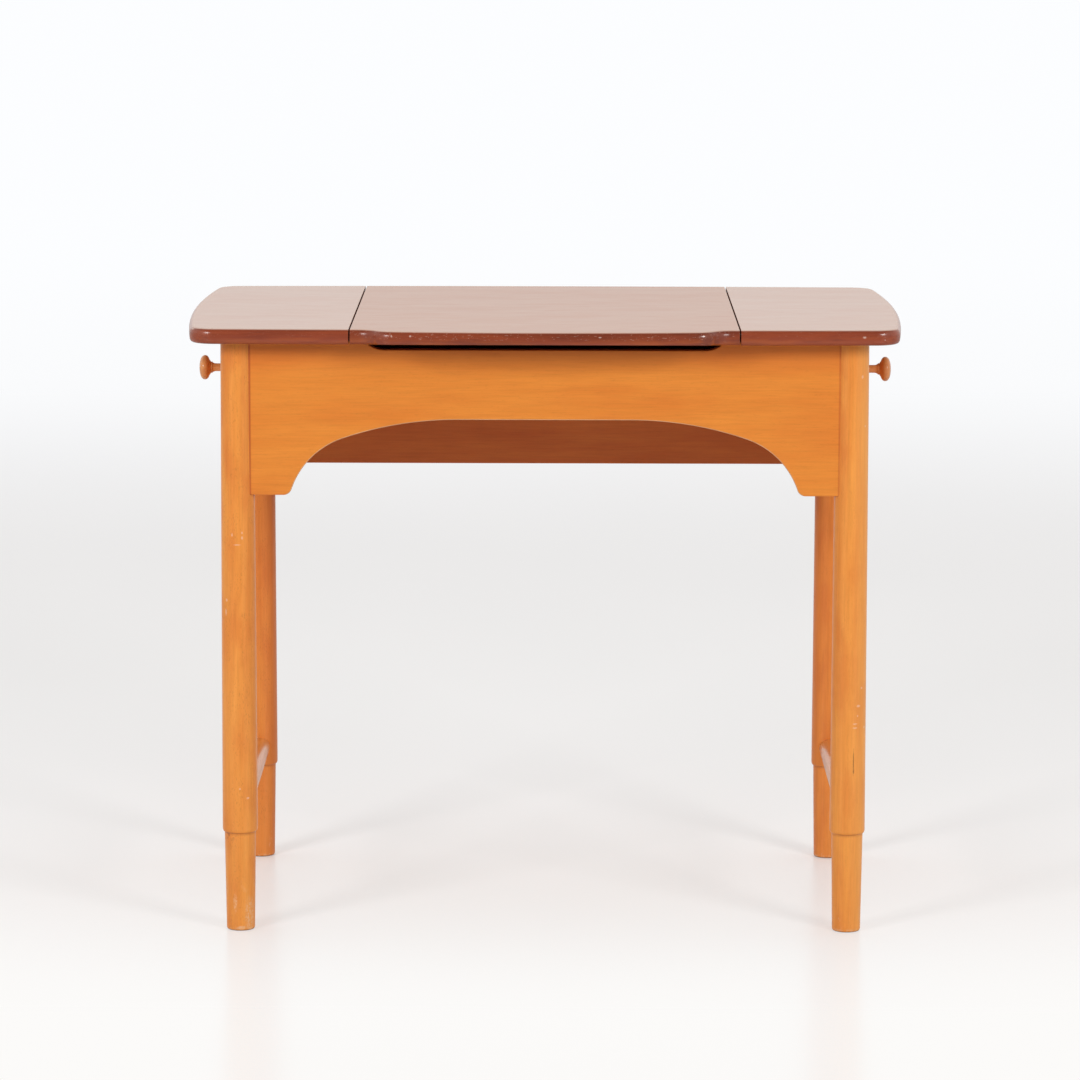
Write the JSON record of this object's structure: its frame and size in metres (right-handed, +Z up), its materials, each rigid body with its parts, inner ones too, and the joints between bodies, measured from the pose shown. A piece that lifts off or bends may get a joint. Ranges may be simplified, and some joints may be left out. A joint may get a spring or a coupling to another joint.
{
  "type": "dressing table",
  "caption": "Dressing table on turned legs with an arched front apron, a hinged mirror flap over a compartment in the top, and a small drawer in each end.",
  "frame": {"origin": "on the floor, under the middle of the overall width and depth, lip included", "axes": "+Z up, +X to the right seen from the front, +Y to the back; the arched apron faces -Y"},
  "size_m": [0.846, 0.562, 0.72],
  "materials": {
    "beech": "orange-brown satin lacquered beech",
    "mahogany": "reddish brown semi-gloss lacquered mahogany",
    "inner_wood": "thinly lacquered beech, out of sight",
    "drawer_wood": "clear lacquered beech drawer boards",
    "plywood": "clear lacquered birch plywood",
    "mirror": "silvered glass",
    "brass": "dull brass",
    "steel": "zinc plated"
  },
  "bodies": {
    "table": {"leg_front_left": "beech", "leg_front_right": "beech", "leg_back_left": "beech", "leg_back_right": "beech", "stretcher_left": "beech", "stretcher_right": "beech", "front_apron": "beech", "back_apron": "beech", "end_rail_left": "beech", "end_rail_right": "beech", "top_rail_left": "beech", "top_rail_right": "beech", "partition_left": "inner_wood", "partition_right": "inner_wood", "compartment_floor": "plywood", "floor_cleat_front": "inner_wood", "floor_cleat_back": "inner_wood", "top_cleat_left": "inner_wood", "top_cleat_right": "inner_wood", "runner_left_front": "inner_wood", "runner_left_back": "inner_wood", "runner_right_front": "inner_wood", "runner_right_back": "inner_wood", "top_panel_left": "mahogany", "top_panel_right": "mahogany", "top_screws": "steel", "hinge_left_frame_leaf": "brass", "hinge_left_pin": "brass", "hinge_right_frame_leaf": "brass", "hinge_right_pin": "brass", "hinge_screws_frame": "brass"},
    "flap": {"centre_flap": "mahogany", "mirror_glass": "mirror", "mirror_bead_front": "mahogany", "mirror_bead_back": "mahogany", "mirror_bead_left": "mahogany", "mirror_bead_right": "mahogany", "hinge_left_flap_leaf": "brass", "hinge_right_flap_leaf": "brass", "hinge_screws_flap": "brass"},
    "drawer_left": {"drawer_left_front": "beech", "drawer_left_side_front": "drawer_wood", "drawer_left_side_back": "drawer_wood", "drawer_left_back": "drawer_wood", "drawer_left_bottom": "plywood", "drawer_left_knob": "beech", "drawer_left_screw": "steel"},
    "drawer_right": {"drawer_right_front": "beech", "drawer_right_side_front": "drawer_wood", "drawer_right_side_back": "drawer_wood", "drawer_right_back": "drawer_wood", "drawer_right_bottom": "plywood", "drawer_right_knob": "beech", "drawer_right_screw": "steel"}
  },
  "joints": [
    {"name": "flap_hinge", "type": "hinge", "parent": "table", "child": "flap", "pos_m": [0, 0.2373, 0.6995], "axis": [-1, 0, 0], "range_deg": [0, 96]},
    {"name": "drawer_left_slide", "type": "slide", "parent": "table", "child": "drawer_left", "axis": [-1, 0, 0], "range_m": [0, 0.095]},
    {"name": "drawer_right_slide", "type": "slide", "parent": "table", "child": "drawer_right", "axis": [1, 0, 0], "range_m": [0, 0.095]}
  ]
}
